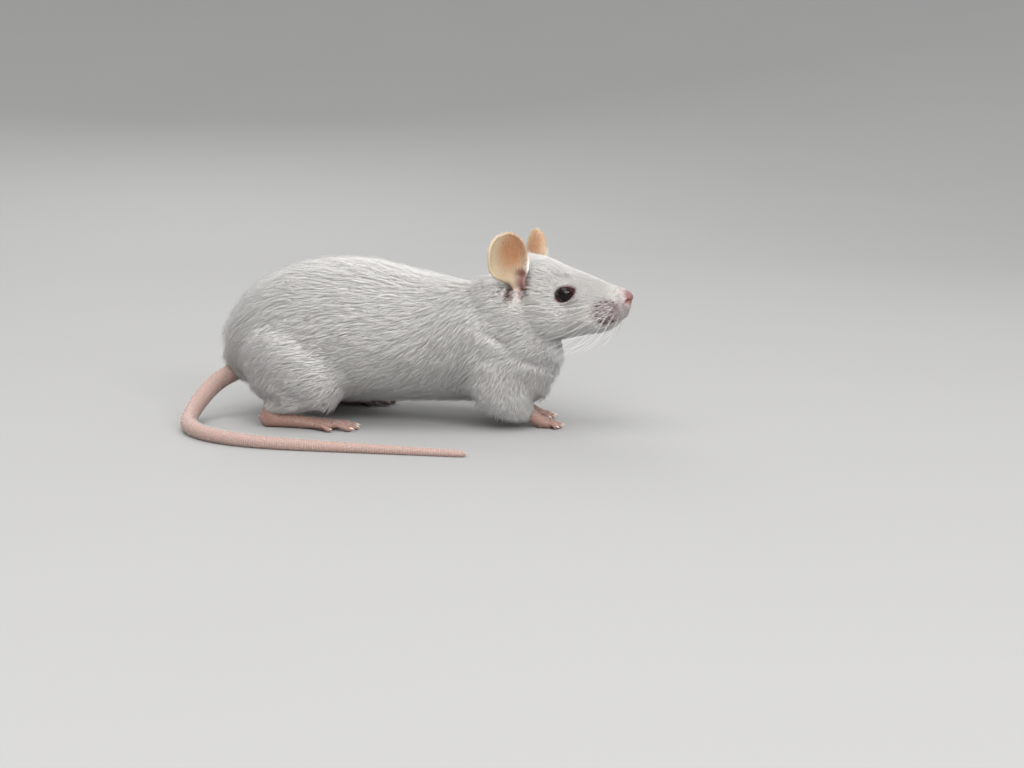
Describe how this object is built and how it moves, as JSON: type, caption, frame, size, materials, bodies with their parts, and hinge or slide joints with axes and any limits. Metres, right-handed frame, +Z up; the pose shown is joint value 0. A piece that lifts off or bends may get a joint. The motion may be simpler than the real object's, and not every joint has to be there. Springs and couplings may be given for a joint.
{
  "type": "white mouse",
  "caption": "Life-size still model of a white mouse on all fours, head raised and forefeet together, tail curved on the floor beside it.",
  "frame": {"origin": "on the floor, under the middle of the box round the whole animal", "axes": "+X the way the trunk faces, +Y to the animal's left, +Z up"},
  "size_m": [0.0798, 0.046, 0.0347],
  "materials": {
    "white_coat": "short soft white fur",
    "pink_skin": "bare pink skin, finely haired",
    "ear_skin": "thin translucent tan skin",
    "dark_ruby_eye": "wet gloss"
  },
  "bodies": {
    "root": {"snout": "white_coat", "head": "white_coat", "neck": "white_coat", "chest": "white_coat", "belly": "white_coat", "rump": "white_coat", "foreleg_left": "white_coat", "foreleg_right": "white_coat", "thigh_left": "white_coat", "thigh_right": "white_coat", "forefoot_left": "pink_skin", "forefoot_right": "pink_skin", "hindfoot_left": "pink_skin", "hindfoot_right": "pink_skin", "tail_1": "pink_skin", "tail_2": "pink_skin", "tail_3": "pink_skin", "tail_4": "pink_skin", "tail_5": "pink_skin", "ear_left": "ear_skin", "ear_right": "ear_skin", "eye_left": "dark_ruby_eye", "eye_right": "dark_ruby_eye"}
  },
  "joints": []
}
